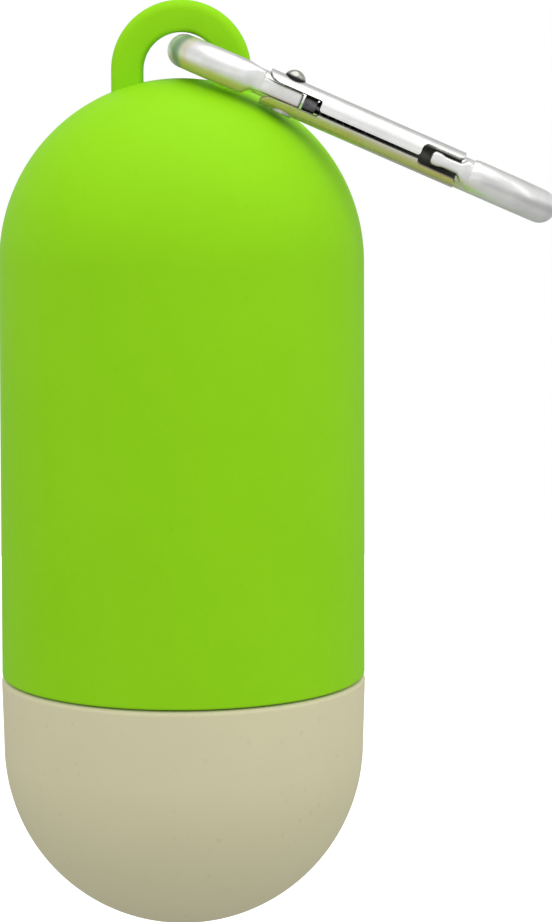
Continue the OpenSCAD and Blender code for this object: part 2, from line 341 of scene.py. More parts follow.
@dataclass(frozen=True)
class ZincPlate(Finish):
    """Bright zinc plating on steel, with soft waves, fine streaks, a stain of passivation, painted
    shade and a painted reflection.

    A yellow stain lies where the part hung lowest in its bath, under the hook as far as the latch.
    A blue-green band across the bend that hangs in the eye is a painted reflection of the green
    ring tab, with a yellow band along its rim. Grey painted shade lies along the top edge and along
    the middle of the far bend. Where the mesh's own attribute says so, on the inner face of the
    gate and on the wire's sheared end at the heel, the steel takes a dark painted shade. Places are
    in millimetres on the hook's own axes.
    """

    bright: Colour
    dull: Colour
    metallic: float
    roughness: float
    stretch: Triple
    wave: float
    yellow: Colour = (0.64, 0.55, 0.17)
    # Colour of the painted reflection of the green ring tab on the bend in the eye.
    tab_reflection: Colour = (0.16, 0.24, 0.2)
    shade: Colour = (0.34, 0.34, 0.33)
    # Colour of the painted shade on the inner face of the gate and the wire's heel end.
    inner_shade: Colour = (0.2, 0.2, 0.175)
    bend_edge: float = 1.825
    bend_round: float = 0.3
    stain_top: float = -0.85
    stain_foot: float = -1.85
    stain_end: float = 33.5
    tab_reflection_band: Point = (0.6, 1.5)
    gold_band: Point = (1.5, 2.3)

    def _hung(self, along: Sig, height: Sig) -> Sig:
        """The yellow stain under the hook."""
        low = (1.0 - height.above(self.stain_top, 0.45)) * height.above(self.stain_foot, 0.15)
        return low * (1.0 - along.above(self.stain_end, 2.0))

    def _rim(self, along: Sig, height: Sig, band: tuple[float, float]) -> Sig:
        """A band between two distances from the edge of the bend in the eye."""
        inwards = along + self.bend_edge - height * height * self.bend_round
        return inwards.above(band[0], 0.3) * (1.0 - inwards.above(band[1], 0.35))

    def _shadow(self, along: Sig, height: Sig) -> Sig:
        """Painted shade: grey along the top edge and along the middle of the far bend."""
        middle = height.above(-0.35, 0.3) * (1.0 - height.above(0.45, 0.35))
        return height.above(1.5, 0.45) * 0.5 + middle * along.above(34.6, 1.0) * 0.4

    def paint(self, graph: Graph) -> None:
        """Lays out the shader.

        Args:
            graph: The material's empty graph.
        """
        along, height = hook_spot(graph, 0), hook_spot(graph, 2)
        patches = graph.noise(0.0031, 2.0, 0.5)
        streaks = graph.noise(0.0005, 2.0, 0.5, self.stretch)
        waves = graph.noise(0.0022, 1.0, 0.4, self.stretch)
        # Mask of the painted shade inside the gate and on the wire's heel end.
        inside = graph.add("ShaderNodeAttribute", {"attribute_name": INSIDE}, {}, "Fac")
        mottle = (patches * 0.75 + streaks * 0.25).above(0.52, 0.2)
        plate = graph.mix(mottle, self.bright, self.dull)
        # Painted shade, grey along the top edge and the middle of the far bend.
        shaded = graph.mix(self._shadow(along, height) * (0.6 + patches * 0.7), plate, self.shade)
        hung = self._hung(along, height) * (0.55 + patches * 0.7)
        stained = graph.mix(hung, shaded, self.yellow)
        # Painted reflection of the green ring tab across the bend in the eye, then a yellow band at
        # its rim.
        with_tab_reflection = graph.mix(self._rim(along, height, self.tab_reflection_band) * 0.75, stained, self.tab_reflection)
        gilded = graph.mix(self._rim(along, height, self.gold_band) * 0.4, with_tab_reflection, self.yellow)
        worn = 0.16 * (patches - 0.45) + 0.08 * (streaks - 0.5) + inside * 0.2
        graph.principled(
            Base_Color=graph.mix(inside, gilded, self.inner_shade),
            Metallic=self.metallic * (1.0 - hung * 0.7),
            Roughness=self.roughness + worn,
            Normal=graph.bump(waves * 0.85 + streaks * 0.1, self.wave, 0.6),
        )


@dataclass(frozen=True)
class FormedHead(Finish):
    """Rivet steel, lighter on top of its domed upper head, with painted shade darkening the band
    below.
    """

    head_colour: Colour
    # Colour of the painted shade on the lower part of the upper head.
    groove: Colour
    roughness: float
    shade_low: float = 1.2
    shade_high: float = 2.35

    def paint(self, graph: Graph) -> None:
        """Lays out the shader.

        Args:
            graph: The material's empty graph.
        """
        height = hook_spot(graph, 2)
        marks = graph.noise(0.0007, 3.0, 0.6)
        # Painted shade over the lower part of the upper head, below a ragged line; the top stays
        # lighter.
        over = (height + marks * 0.3).above(self.shade_high, 0.2)
        dark = height.above(self.shade_low, 0.2) * (1.0 - over)
        graph.principled(
            Base_Color=graph.mix(dark, self.head_colour, self.groove),
            Metallic=0.8,
            Roughness=self.roughness + 0.15 * (marks - 0.5),
            Normal=graph.bump(marks, 0.00002, 0.5),
        )


@dataclass(frozen=True)
class DrawnSteel(Finish):
    """Drawn spring wire, darker than plate, with faint lines and oil stains."""

    colour: Colour
    stain: Colour
    roughness: float

    def paint(self, graph: Graph) -> None:
        """Lays out the shader.

        Args:
            graph: The material's empty graph.
        """
        stains = graph.noise(0.0012, 3.0, 0.6)
        lines = graph.noise(0.00008, 2.0, 0.6, (0.2, 1.0, 1.0))
        graph.principled(
            Base_Color=graph.mix(stains.above(0.55, 0.15), self.colour, self.stain),
            Metallic=1.0,
            Roughness=self.roughness + 0.2 * (stains - 0.4),
            Normal=graph.bump(lines, 0.00001, 0.5),
        )


@dataclass(frozen=True)
class BagFilm(Finish):
    """Thin wound film, with wrinkles across the roll and a dull waxy shine."""

    colour: Colour
    fold: Colour

    def paint(self, graph: Graph) -> None:
        """Lays out the shader.

        Args:
            graph: The material's empty graph.
        """
        wrinkles = graph.noise(0.0024, 4.0, 0.65, (1.0, 1.0, 0.3))
        layers = graph.noise(0.0005, 2.0, 0.5, (0.15, 0.15, 1.0))
        graph.principled(
            Base_Color=graph.mix(wrinkles.above(0.5, 0.2), self.colour, self.fold),
            Roughness=0.34 + 0.2 * (wrinkles - 0.5),
            Coat_Weight=0.15 + 0.2 * layers,
            Normal=graph.bump(wrinkles * 0.7 + layers * 0.3, 0.00025, 0.7),
        )


@dataclass(frozen=True)
class CoreCard(Finish):
    """Raw wound card, with fibres and flecks."""

    colour: Colour
    fibre: Colour

    def paint(self, graph: Graph) -> None:
        """Lays out the shader.

        Args:
            graph: The material's empty graph.
        """
        fibres = graph.noise(0.0009, 4.0, 0.7, (1.0, 1.0, 0.35))
        flecks = (1.0 - graph.cells(0.0013).above(0.2, 0.08)) * 0.5
        graph.principled(
            Base_Color=graph.mix(fibres.above(0.5, 0.25), self.colour, self.fibre),
            Roughness=0.8 + 0.15 * (fibres - 0.5),
            Specular_IOR_Level=0.2,
            Normal=graph.bump(fibres - flecks * 0.3, 0.00008, 0.6),
        )


FINISHES = {
    Slot.GREEN: MouldedPlastic("moulded_green", (0.304, 0.73, 0.0115), (0.29, 0.7, 0.010),
                               (0.265, 0.65, 0.008), 0.25, 0.48, 0.05),
    Slot.BEIGE: MouldedPlastic("speckled_beige", (0.703, 0.664, 0.432), (0.68, 0.64, 0.413),
                               (0.5, 0.46, 0.3), 0.2, 0.56, 0.2),
    Slot.WIRE: ZincPlate("zinc_on_wire", (0.93, 0.925, 0.915), (0.79, 0.785, 0.775), 0.5, 0.3,
                         (0.5, 1.0, 1.0), 0.00004),
    Slot.SHEET: ZincPlate("zinc_on_sheet", (0.92, 0.915, 0.90), (0.8, 0.8, 0.79), 0.55, 0.26,
                          (0.25, 1.0, 1.0), 0.00003),
    Slot.SPRING: DrawnSteel("drawn_spring_steel", (0.16, 0.16, 0.165), (0.05, 0.05, 0.055), 0.3),
    Slot.FILM: BagFilm("wound_bag_film", (0.03, 0.032, 0.036), (0.055, 0.058, 0.064)),
    Slot.CARD: CoreCard("raw_core_card", (0.45, 0.3, 0.17), (0.36, 0.23, 0.12)),
}


@cache
def finish_of(slot: Slot) -> bpy.types.Material:
    """The material of a slot, made the first time it is asked for."""
    return FINISHES[slot].make()


# --------------------------------------------------------------------------- mesh tools


def arc(centre: Point, radius: float, start: float, end: float, steps: int) -> list[Point]:
    """Points of an arc.

    Args:
        centre: Its centre.
        radius: Its radius.
        start: Angle of its first point, in degrees.
        end: Angle of its last point, in degrees.
        steps: Number of its chords.

    Returns:
        The points, both ends included.
    """
    turns = [math.radians(start + (end - start) * i / steps) for i in range(steps + 1)]
    return [(centre[0] + radius * math.cos(t), centre[1] + radius * math.sin(t)) for t in turns]


class Solid:
    """A mesh in millimetres while it is being shaped."""

    def __init__(self) -> None:
        """Starts empty."""
        self.bm = bmesh.new()

    def outline(self, points: Iterable[Sequence[float]], closed: bool) -> list:
        """Lays down a chain of edges.

        Args:
            points: Its corners.
            closed: Whether the last corner joins the first.

        Returns:
            Its vertices and edges.
        """
        verts = [self.bm.verts.new(point) for point in points]
        ends = verts[1:] + verts[:1] if closed else verts[1:]
        return verts + [self.bm.edges.new(pair) for pair in zip(verts, ends)]

    def lathe(self, profile: Sequence[Point], steps: int, closed: bool = False) -> "Solid":
        """Turns a profile of (radius, height) points about +Z and welds it."""
        self.spin(self.outline([(r, 0.0, z) for r, z in profile], closed), 360, steps)
        return self.weld()

    def spin(self, chain: list, sweep: float, steps: int, rise: float = 0.0,
             axis: Sequence[float] = (0, 0, 1)) -> list:
        """Sweeps a chain through degrees, rising at each step, and returns its last copy.

        Args:
            chain: Its vertices and edges.
            sweep: Angle of the sweep, in degrees.
            steps: Number of its steps.
            rise: Height gained at each step.
            axis: Direction of the axis, which passes through the middle.

        Returns:
            The chain's last copy.
        """
        return bmesh.ops.spin(self.bm, geom=chain, cent=(0, 0, 0), axis=axis, dvec=(0, 0, rise),
                              angle=math.radians(sweep), steps=steps,
                              use_merge=sweep == 360)["geom_last"]

    def extrude(self, chain: Iterable, rise: float) -> list:
        """Draws a chain of edges straight up and returns all that this makes.

        Args:
            chain: The edges, with whatever lies between them.
            rise: Height that they are drawn up by.

        Returns:
            Everything that this makes.
        """
        edges = [part for part in chain if isinstance(part, bmesh.types.BMEdge)]
        made = bmesh.ops.extrude_edge_only(self.bm, edges=edges)["geom"]
        verts = [part for part in made if isinstance(part, bmesh.types.BMVert)]
        bmesh.ops.translate(self.bm, vec=(0, 0, rise), verts=verts)
        return made

    def ease(self, parts: list, size: float, segments: int = 3, kind: Ease = Ease.EDGES) -> None:
        """Rounds edges, or the corners of a flat pattern.

        Args:
            parts: The edges or corners.
            size: Width of the rounding.
            segments: Number of its facets.
            kind: Which of the two they are.
        """
        bmesh.ops.bevel(self.bm, geom=parts, offset=size, offset_type="OFFSET", segments=segments,
                        profile=0.5, affect=kind.value, clamp_overlap=True, material=-1)

    def close(self) -> "Solid":
        """Fills the open ends.

        Returns:
            This solid.
        """
        rims = [edge for edge in self.bm.edges if edge.is_boundary]
        bmesh.ops.holes_fill(self.bm, edges=rims, sides=0)
        return self.weld()

    def weld(self) -> "Solid":
        """Merges doubled points and turns every face outwards.

        Returns:
            This solid.
        """
        bmesh.ops.remove_doubles(self.bm, verts=self.bm.verts[:], dist=1e-4)
        bmesh.ops.recalc_face_normals(self.bm, faces=self.bm.faces[:])
        return self

    def block(self, low: Sequence[float], high: Sequence[float]) -> "Solid":
        """Adds a box between two corners.

        Args:
            low: Its lowest corner.
            high: Its highest corner.

        Returns:
            This solid.
        """
        size = Vector(high) - Vector(low)
        place = Matrix.Translation(Vector(low) + size / 2) @ Matrix.Diagonal((*size, 1.0))
        bmesh.ops.create_cube(self.bm, size=1.0, matrix=place)
        return self

    def rod(self, radius: float, low: float, high: float, sides: int = 48) -> "Solid":
        """Adds an upright rod on the Z axis.

        Args:
            radius: Its radius.
            low: Height of its foot.
            high: Height of its top.
            sides: Number of its sides.

        Returns:
            This solid.
        """
        place = Matrix.Translation((0, 0, (low + high) / 2))
        bmesh.ops.create_cone(self.bm, cap_ends=True, segments=sides, radius1=radius,
                              radius2=radius, depth=high - low, matrix=place)
        return self

    def move(self, place: Matrix) -> "Solid":
        """Moves the whole solid."""
        bmesh.ops.transform(self.bm, matrix=place, verts=self.bm.verts[:])
        return self

    def as_object(self, name: str) -> bpy.types.Object:
        """Writes the solid to a new object, as it stands.

        Args:
            name: The object's name.

        Returns:
            The object.
        """
        mesh = bpy.data.meshes.new(name)
        self.bm.to_mesh(mesh)
        made = bpy.data.objects.new(name, mesh)
        bpy.context.scene.collection.objects.link(made)
        return made

    def combine(self, tool: "Solid", join: Join) -> "Solid":
        """Works another solid into this one.

        Args:
            tool: The other solid.
            join: Whether it is added or cut away.

        Returns:
            This solid.
        """
        host = self.as_object("host")
        guest = tool.as_object("guest")
        step = host.modifiers.new("join", "BOOLEAN")
        step.operation = join.value
        step.solver = "MANIFOLD"
        step.object = guest
        graph = bpy.context.evaluated_depsgraph_get()
        mesh = bpy.data.meshes.new_from_object(host.evaluated_get(graph))
        self.bm.clear()
        self.bm.from_mesh(mesh)
        for spent in (host, guest):
            bpy.data.objects.remove(spent)
        return self

    def piece(self, name: str, slot: Slot, body: str, nodes: Sequence[str],
              place: Matrix | None = None, sharp: float = 34.0) -> bpy.types.Object:
        """Finishes the solid as a piece of the part.

        Args:
            name: The piece's name.
            slot: The material slot that it takes its finish from.
            body: The CAD body that it rides on.
            nodes: The CAD nodes that it stands for.
            place: Where it goes, in metres, if not as it stands.
            sharp: Angle past which an edge stays sharp, in degrees.

        Returns:
            The piece.
        """
        bmesh.ops.scale(self.bm, vec=(MM, MM, MM), verts=self.bm.verts[:])
        if place is not None:
            self.move(place)
        for face in self.bm.faces:
            face.smooth = True
        made = self.as_object(name)
        made.data.set_sharp_from_angle(angle=math.radians(sharp))
        made.data.materials.append(finish_of(slot))
        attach(made, body)
        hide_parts(*nodes)
        self.bm.free()
        return made


# --------------------------------------------------------------------------- places in the frame


def hook_place() -> Matrix:
    """The hook's own place: x along it, y across it, z square to it, from the wire in the eye.

    Returns:
        Its placement, in metres.
    """
    along = Vector(joint_of("pusher_slide")["axis"])
    square = Vector(joint_of("gate_open")["axis"])
    start = Vector(joint_of("hook_swing")["pos_m"])
    turn = Matrix((along, square.cross(along), square)).transposed().to_4x4()
    return Matrix.Translation(start) @ turn


# --------------------------------------------------------------------------- moulded pieces


@dataclass
class Thread:
    """Helical ribs of the screw thread, in millimetres."""

    lead: float = 8.0
    starts: int = 2
    root_w: float = 1.2
    crest_w: float = 0.6
    height: float = 0.4
    bite: float = 0.3
    fade: float = 24.0

    def rib(self, root: float, outwards: float, bottom: float, first: float, sweep: float) -> Solid:
        """One rib.

        Args:
            root: Radius of the surface that it stands on.
            outwards: 1 for a rib on a neck and -1 for one in a bore.
            bottom: Height of its lower end.
            first: Angle at which it starts, in degrees.
            sweep: Angle that it goes round, in degrees.

        Returns:
            The rib.
        """
        half, tip = self.root_w / 2, self.crest_w / 2
        section = [(-self.bite, -half), (0.0, -half), (self.height, -tip), (self.height, tip),
                   (0.0, half), (-self.bite, half)]
        steps = round(sweep / 4)
        solid = Solid()
        points = [(root + outwards * out, 0.0, bottom + up) for out, up in section]
        chain = solid.outline(points, True)
        solid.spin(chain, sweep, steps, self.lead * sweep / 360 / steps)
        self._run_out(solid, root, outwards, sweep)
        solid.close()
        return solid.move(Matrix.Rotation(math.radians(first), 4, "Z"))

    def _run_out(self, solid: Solid, root: float, outwards: float, sweep: float) -> None:
        """Lets the rib sink into its surface towards both ends.

        Args:
            solid: The rib.
            root: Radius of the surface that it stands on.
            outwards: 1 on a neck and -1 in a bore.
            sweep: Angle that it goes round, in degrees.
        """
        for vert in solid.bm.verts:
            out = (math.hypot(vert.co.x, vert.co.y) - root) * outwards
            turn = math.degrees(math.atan2(vert.co.y, vert.co.x)) % 360
            if turn > sweep + 2:
                turn = 0.0
            share = min(1.0, 0.15 + min(turn, sweep - turn) / self.fade)
            if out > 0.01:
                vert.co.xy *= (root + outwards * out * share) / (root + outwards * out)

    def add_to(self, host: Solid, root: float, outwards: float, bottom: float, first: float,
               sweep: float) -> None:
        """Joins every rib to a host, evenly round it.

        Args:
            host: The solid that they are joined to.
            root: Radius of the surface that they stand on.
            outwards: 1 on a neck and -1 in a bore.
            bottom: Height of their lower ends.
            first: Angle at which the first one starts, in degrees.
            sweep: Angle that each goes round, in degrees.
        """
        for i in range(self.starts):
            turn = first + 360 * i / self.starts
            host.combine(self.rib(root, outwards, bottom, turn, sweep), Join.ADD)


@dataclass
class Shell:
    """Domed body with its ring tab and threaded neck, in millimetres."""

    radius: float = 19.95
    foot_radius: float = 20.2
    bore: float = 17.6
    neck_radius: float = 18.6
    neck_len: float = 7.0
    edge_round: float = 0.3
    groove: float = 0.12
    eye: float = 4.15
    eye_round: float = 0.5
    tab_radius: float = 7.6
    tab_round: float = 1.1
    tab_t: float = 3.2
    dome_drop: float = 0.82
    tab_steps: int = 72
    steps: int = 160
    rib_rise: float = 0.9
    rib_sweep: float = 200.0
    chamfer: float = 0.3

    def __post_init__(self) -> None:
        """Works out the heights from the frame."""
        self.dome = -self.dome_drop - self.radius
        self.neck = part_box("body_shell")[0][2] / MM
        self.seam = self.neck + self.neck_len

    def profile(self) -> list[Point]:
        """Outline of the turned body, from the top of the dome round to the top of the bore.

        Returns:
            Points of (radius, height).
        """
        rim = self.foot_radius - self.edge_round
        return [
            *arc((0, self.dome), self.radius, 90, 0, 48),
            *arc((rim, self.seam + self.edge_round), self.edge_round, 0, -90, 6),
            (self.neck_radius + self.groove, self.seam),
            (self.neck_radius, self.seam - self.groove),
            (self.neck_radius, self.neck + self.chamfer),
            (self.neck_radius - self.chamfer, self.neck),
            (self.bore + self.chamfer, self.neck),
            (self.bore, self.neck + self.chamfer),
            *arc((0, self.dome), self.bore, 0, 90, 24),
        ]

    def tab(self) -> Solid:
        """Half a ring over the eye, with two straight legs down into the dome.

        Returns:
            The tab.
        """
        web = self.tab_t / 2
        inner, outer = self.eye + self.eye_round, self.tab_radius - self.tab_round
        section = [
            *arc((outer, web - self.tab_round), self.tab_round, 90, 0, 6),
            *arc((outer, self.tab_round - web), self.tab_round, 0, -90, 6),
            *arc((inner, self.eye_round - web), self.eye_round, -90, -180, 4),
            *arc((inner, web - self.eye_round), self.eye_round, 180, 90, 4),
        ]
        leg = self.dome_drop + self.radius - self.bore + 1.0
        solid = Solid()
        raised = solid.extrude(solid.outline([(x, y, -leg) for x, y in section], True), leg)
        top = [part for part in raised if not isinstance(part, bmesh.types.BMFace)]
        solid.extrude(solid.spin(top, 180, self.tab_steps, axis=(0, -1, 0)), -leg)
        return solid.close()

    def build(self) -> list[bpy.types.Object]:
        """Makes the shell.

        Returns:
            The finished pieces.
        """
        solid = Solid().lathe(self.profile(), self.steps)
        solid.combine(self.tab(), Join.ADD)
        bowl = arc((0, self.dome), self.bore, 90, 0, 24)
        bowl[0] = (0, self.dome + self.bore)
        solid.combine(Solid().lathe([*bowl, (0, self.dome)], self.steps), Join.CUT)
        Thread().add_to(solid, self.neck_radius, 1, self.neck + self.rib_rise, 0.0, self.rib_sweep)
        return [solid.piece("shell_moulding", Slot.GREEN, "shell", ["body_shell"])]


@dataclass
class Cap:
    """Round-bottomed screw cap with the bag outlet, in millimetres."""

    radius: float = 20.07
    wall: float = 1.9
    skirt: float = 7.9
    rim_round: float = 0.55
    bore: float = 19.15
    bore_depth: float = 7.15
    lip: float = 0.25
    outlet: float = 4.5
    slots: int = 3
    slot_len: float = 14.0
    slot_w: float = 1.8
    outlet_round: float = 0.3
    steps: int = 160
    rib_rise: float = 1.95
    rib_first: float = 10.0
    rib_sweep: float = 180.0

    def __post_init__(self) -> None:
        """Works out the heights and the rim from the frame."""
        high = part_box("bottom_cap")[1]
        self.rim = high[0] / MM
        self.top = high[2] / MM
        self.bowl = self.top - self.skirt
        self.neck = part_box("body_shell")[0][2] / MM

    def profile(self) -> list[Point]:
        """Outline of the turned cap, from the middle of its bottom to the middle of its bowl.

        Returns:
            Points of (radius, height).
        """
        inside = self.radius - self.wall
        step = math.degrees(math.asin((self.skirt - self.bore_depth) / inside))
        crown = self.rim - self.rim_round
        return [
            *arc((0, self.bowl), self.radius, -90, 0, 44),
            *arc((crown, self.top - self.rim_round), self.rim_round, 0, 90, 6),
            (self.bore + self.lip, self.top),
            (self.bore, self.top - self.lip),
            (self.bore, self.top - self.bore_depth),
            *arc((0, self.bowl), inside, step, -90, 36),
        ]

    def _cut_outlet(self, solid: Solid) -> None:
        """Cuts the round hole and its crossing slots, and rounds their edges.

        Args:
            solid: The turned cap.
        """
        low = self.bowl - self.radius - 2.0
        high = low + 2 * self.wall + 3.0
        solid.combine(Solid().rod(self.outlet, low, high, 60), Join.CUT)
        straight = (self.slot_len - self.slot_w) / 2
        for i in range(self.slots):
            turn = Matrix.Rotation(math.pi * i / self.slots, 4, "Z")
            half = self.slot_w / 2
            box = Solid().block((-straight, -half, low), (straight, half, high))
            solid.combine(box.move(turn), Join.CUT)
            for side in (-1, 1):
                place = turn @ Matrix.Translation((side * straight, 0, 0))
                solid.combine(Solid().rod(half, low, high, 24).move(place), Join.CUT)
        reach = self.slot_len / 2 + 0.5
        rims = [edge for edge in solid.bm.edges
                if edge.calc_length() > 1e-3 and len(edge.link_faces) == 2
                and edge.calc_face_angle(0.0) > math.radians(50)
                and all(math.hypot(*v.co.xy) < reach and v.co.z < self.bowl for v in edge.verts)
                and abs((edge.verts[0].co - edge.verts[1].co).normalized().z) < 0.9]
        solid.ease(rims, self.outlet_round)

    def build(self) -> list[bpy.types.Object]:
        """Makes the cap.

        Returns:
            The finished pieces.
        """
        solid = Solid().lathe(self.profile(), self.steps)
        self._cut_outlet(solid)
        Thread().add_to(solid, self.bore, -1, self.neck + self.rib_rise, self.rib_first,
                        self.rib_sweep)
        return [solid.piece("cap_moulding", Slot.BEIGE, "cap", ["bottom_cap"])]


@dataclass
class Roll:
    """Roll of folded bags on its card tube, in millimetres."""

    core: float = 5.5
    core_wall: float = 0.8
    layers: int = 26
    ragged: float = 0.22
    loose: float = 0.35
    loose_turn: float = 26.0
    core_round: float = 0.12
    steps: int = 96

    def __post_init__(self) -> None:
        """Works out the roll's size from the frame."""
        low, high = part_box("bag_roll")
        self.radius = high[0] / MM
        self.low, self.high = low[2] / MM, high[2] / MM

    def _bags(self) -> Solid:
        """The wound bags, with uneven layers at both ends.

        Returns:
            The bags.
        """
        draw = random.Random(11)
        inner = self.core + 0.04
        pitch = (self.radius - inner) / self.layers
        top: list[Point] = []
        for i in range(self.layers):
            start = inner + pitch * i
            drop = draw.uniform(0.0, self.ragged)
            level = self.high - drop
            top += [(start + 0.04, level - 0.18), (start + pitch * 0.35, level),
                    (start + pitch * 0.75, level)]
        top.append((self.radius, self.high - self.ragged))
        bottom = [(r, self.low + self.high - z) for r, z in reversed(top)]
        return Solid().lathe(top + bottom, self.steps, closed=True)

    def _loose_edge(self) -> Solid:
        """The outer end of the film, which stands a little off the roll.

        Returns:
            The loose end.
        """
        solid = Solid()
        corners = [(self.radius - 0.3, self.low + 1), (self.radius + 0.06, self.low + 1),
                   (self.radius + 0.06, self.high - 1), (self.radius - 0.3, self.high - 1)]
        chain = solid.outline([(r, 0.0, z) for r, z in corners], True)
        solid.spin(chain, self.loose_turn, 10)
        solid.close()
        for vert in solid.bm.verts:
            turn = math.degrees(math.atan2(vert.co.y, vert.co.x)) / self.loose_turn
            if math.hypot(*vert.co.xy) > self.radius:
                vert.co.xy *= 1 + self.loose * turn * turn / self.radius
        return solid

    def build(self) -> list[bpy.types.Object]:
        """Makes the wound bags and their card tube.

        Returns:
            The finished pieces.
        """
        bags = self._bags().combine(self._loose_edge(), Join.ADD)
        edge = self.core_round
        inner = self.core - self.core_wall
        tube = [(inner, self.low + edge), (inner + edge, self.low), (self.core - edge, self.low),
                (self.core, self.low + edge), (self.core, self.high - edge),
                (self.core - edge, self.high), (inner + edge, self.high), (inner, self.high - edge)]
        card = Solid().lathe(tube, 64, closed=True)
        return [
            bags.piece("wound_bags", Slot.FILM, "roll", ["bag_roll"]),
            card.piece("card_tube", Slot.CARD, "roll", ["roll_core"]),
        ]


# --------------------------------------------------------------------------- metal pieces


@dataclass
class Station:
    """One cross-section of the hook's wire: its place, heading, half sizes and squareness."""

    x: float
    y: float
    heading: float
    side: float
    up: float
    square: float = 2.0
    lift: float = 0.0

    def ring(self, solid: Solid, count: int) -> list:
        """Adds the section's outline to a solid.

        Args:
            solid: The solid that it goes into.
            count: Number of its corners.

        Returns:
            The outline's edges.
        """
        made = bmesh.ops.create_circle(solid.bm, segments=count, radius=1.0)["verts"]
        turn = math.radians(self.heading)
        across = Vector((-math.sin(turn), math.cos(turn), 0.0))
        for vert in made:
            flat = [math.copysign(abs(part) ** (2 / self.square), part) for part in vert.co.xy]
            vert.co = Vector((self.x, self.y, 0)) + across * flat[0] * self.side
            vert.co.z = self.lift + flat[1] * self.up
        return list({edge for vert in made for edge in vert.link_edges})


@dataclass
class Hook:
    """Bent wire with a flattened hinge tongue and a latch nose, and its rivet, in millimetres."""

    wire: float = 1.825
    length: float = 42.2
    bend: float = 7.0
    tongue_lead: float = 0.8
    tongue_t: float = 1.7
    tongue_h: float = 2.9
    rivet_x: float = 5.25
    heel: float = 1.55
    nose_back: float = 1.8
    nose_len: float = 4.6
    nose_w: float = 1.2
    nose_inner: float = 1.0
    nose_outer: float = -1.8
    nose_lift: float = 0.15
    nose_head_w: float = 1.5
    nose_head_len: float = 1.2
    rivet: float = 0.75
    rivet_head: float = 1.15
    head_seat: float = 1.62
    head_top: float = 2.875
    tail: float = 2.125
    sides: int = 40
    bend_steps: int = 36
    rivet_dome: float = 1.22
    rivet_play: float = 0.05
    cone_len: float = 1.5
    pin_finish: FormedHead = FormedHead("formed_rivet_head", (0.5, 0.5, 0.46),
                                        (0.02, 0.02, 0.018), 0.2)

    def _tongue(self) -> list[Station]:
        """The flattened end that the gate turns on, from its heel to the full wire.

        Its flat stretch has shares of the tongue's width and thickness at each place. Its coined
        stretch has, at each place past the start, half its width, its top and foot, and squareness.

        Returns:
            Its stations.
        """
        start = self.bend + self.tongue_lead
        end = self.bend + self.rivet_x + self.heel
        side, up = self.tongue_h / 2, self.tongue_t / 2
        flat = [(end, 0.82, 0.8), (end - 0.08, 0.93, 0.92), (end - 0.3, 1.0, 1.0),
                (start + 1.5, 1.0, 1.0), (start + 1.44, 1.0, 1.03)]
        stations = [Station(x, -self.bend, 180.0, side * a, up * b, 6.0) for x, a, b in flat]
        coined = [(1.4, 1.47, 1.35, -0.9, 6.0), (1.3, 1.5, 1.5, -0.93, 5.0),
                  (0.4, 1.6, 1.66, -1.05, 3.6), (0.1, 1.66, 1.7, -1.3, 3.0),
                  (-0.15, 1.74, 1.75, -1.62, 2.5), (-0.6, 1.8, 1.8, -1.78, 2.2)]
        return stations + [Station(start + x, -self.bend, 180.0, half, (top - foot) / 2, square,
                                   (top + foot) / 2) for x, half, top, foot, square in coined]

    def _nose(self) -> list[Station]:
        """The latch's neck and head, from the full wire to its tip.

        The bar has its half thickness at each place. The swaged cone has, at each distance from
        the full wire, shares of the wire's width and thickness, and its squareness.

        Returns:
            Its stations.
        """
        root = self.length - self.bend - self.nose_back
        tip = root - self.nose_len
        head = tip + self.nose_head_len
        y = -self.bend + (self.nose_inner + self.nose_outer) / 2
        side = (self.nose_inner - self.nose_outer) / 2
        neck, wide = self.nose_w / 2, self.nose_head_w / 2
        bar = [(root - self.cone_len, neck * 1.04), (head + 0.4, neck), (head + 0.1, neck * 1.04),
               (head - 0.2, wide * 0.95), (head - 0.4, wide), (tip + 0.3, wide),
               (tip + 0.08, wide * 0.86), (tip, wide * 0.6)]
        swage = [(0.1, 0.92, 0.88, 2.3), (0.35, 0.91, 0.83, 2.8), (0.8, 0.89, 0.74, 3.4),
                 (1.15, 0.87, 0.5, 4.5)]
        cone = [Station(root - x, -self.bend + (y + self.bend) * x / self.cone_len, 180.0,
                        self.wire * a, self.wire * b, n, self.nose_lift * x / self.cone_len)
                for x, a, b, n in swage]
        return cone + [Station(x, y, 180.0, side, up, 5.0, self.nose_lift) for x, up in bar]

    def _turn(self, centre: float, start: float) -> list[Station]:
        """Stations of one half-turn of the wire about (centre, 0).

        Args:
            centre: Place of the middle of the turn along the hook.
            start: Angle of its first station, in degrees.

        Returns:
            The stations.
        """
        places = arc((centre, 0.0), self.bend, start, start - 180, self.bend_steps)
        return [Station(x, y, start - 180 * i / self.bend_steps - 90, self.wire, self.wire)
                for i, (x, y) in enumerate(places)]

    def _wire(self) -> Solid:
        """The whole hook, lofted through its stations, with its sheared end marked for painted
        shade.

        Returns:
            The wire.
        """
        far = self.length - self.bend
        step = (far - self.bend) / 12
        spine = [Station(self.bend + step * i, self.bend, 0.0, self.wire, self.wire)
                 for i in range(1, 12)]
        stations = [
            *self._tongue(),
            *self._turn(self.bend, -90), *spine, *self._turn(far, 90),
            Station(far - self.nose_back + 0.4, -self.bend, 180.0, self.wire, self.wire),
            Station(far - self.nose_back, -self.bend, 180.0, self.wire * 0.97, self.wire * 0.96),
            *self._nose(),
        ]
        solid = Solid()
        sheared = solid.bm.verts.layers.float.new(INSIDE)
        rings = [station.ring(solid, self.sides) for station in stations]
        # The sheared end at the heel takes painted shade.
        for vert in {vert for edge in rings[0] + rings[1] for vert in edge.verts}:
            vert[sheared] = 1.0
        for ring, following in zip(rings, rings[1:]):
            bmesh.ops.bridge_loops(solid.bm, edges=ring + following)
        solid.close()
        hole = Solid().rod(self.rivet + self.rivet_play, -2.0, 2.0).move(self._pin())
        return solid.combine(hole, Join.CUT)

    def _pin(self) -> Matrix:
        """The gate's axis on the hook."""
        return Matrix.Translation((self.bend + self.rivet_x, -self.bend, 0))

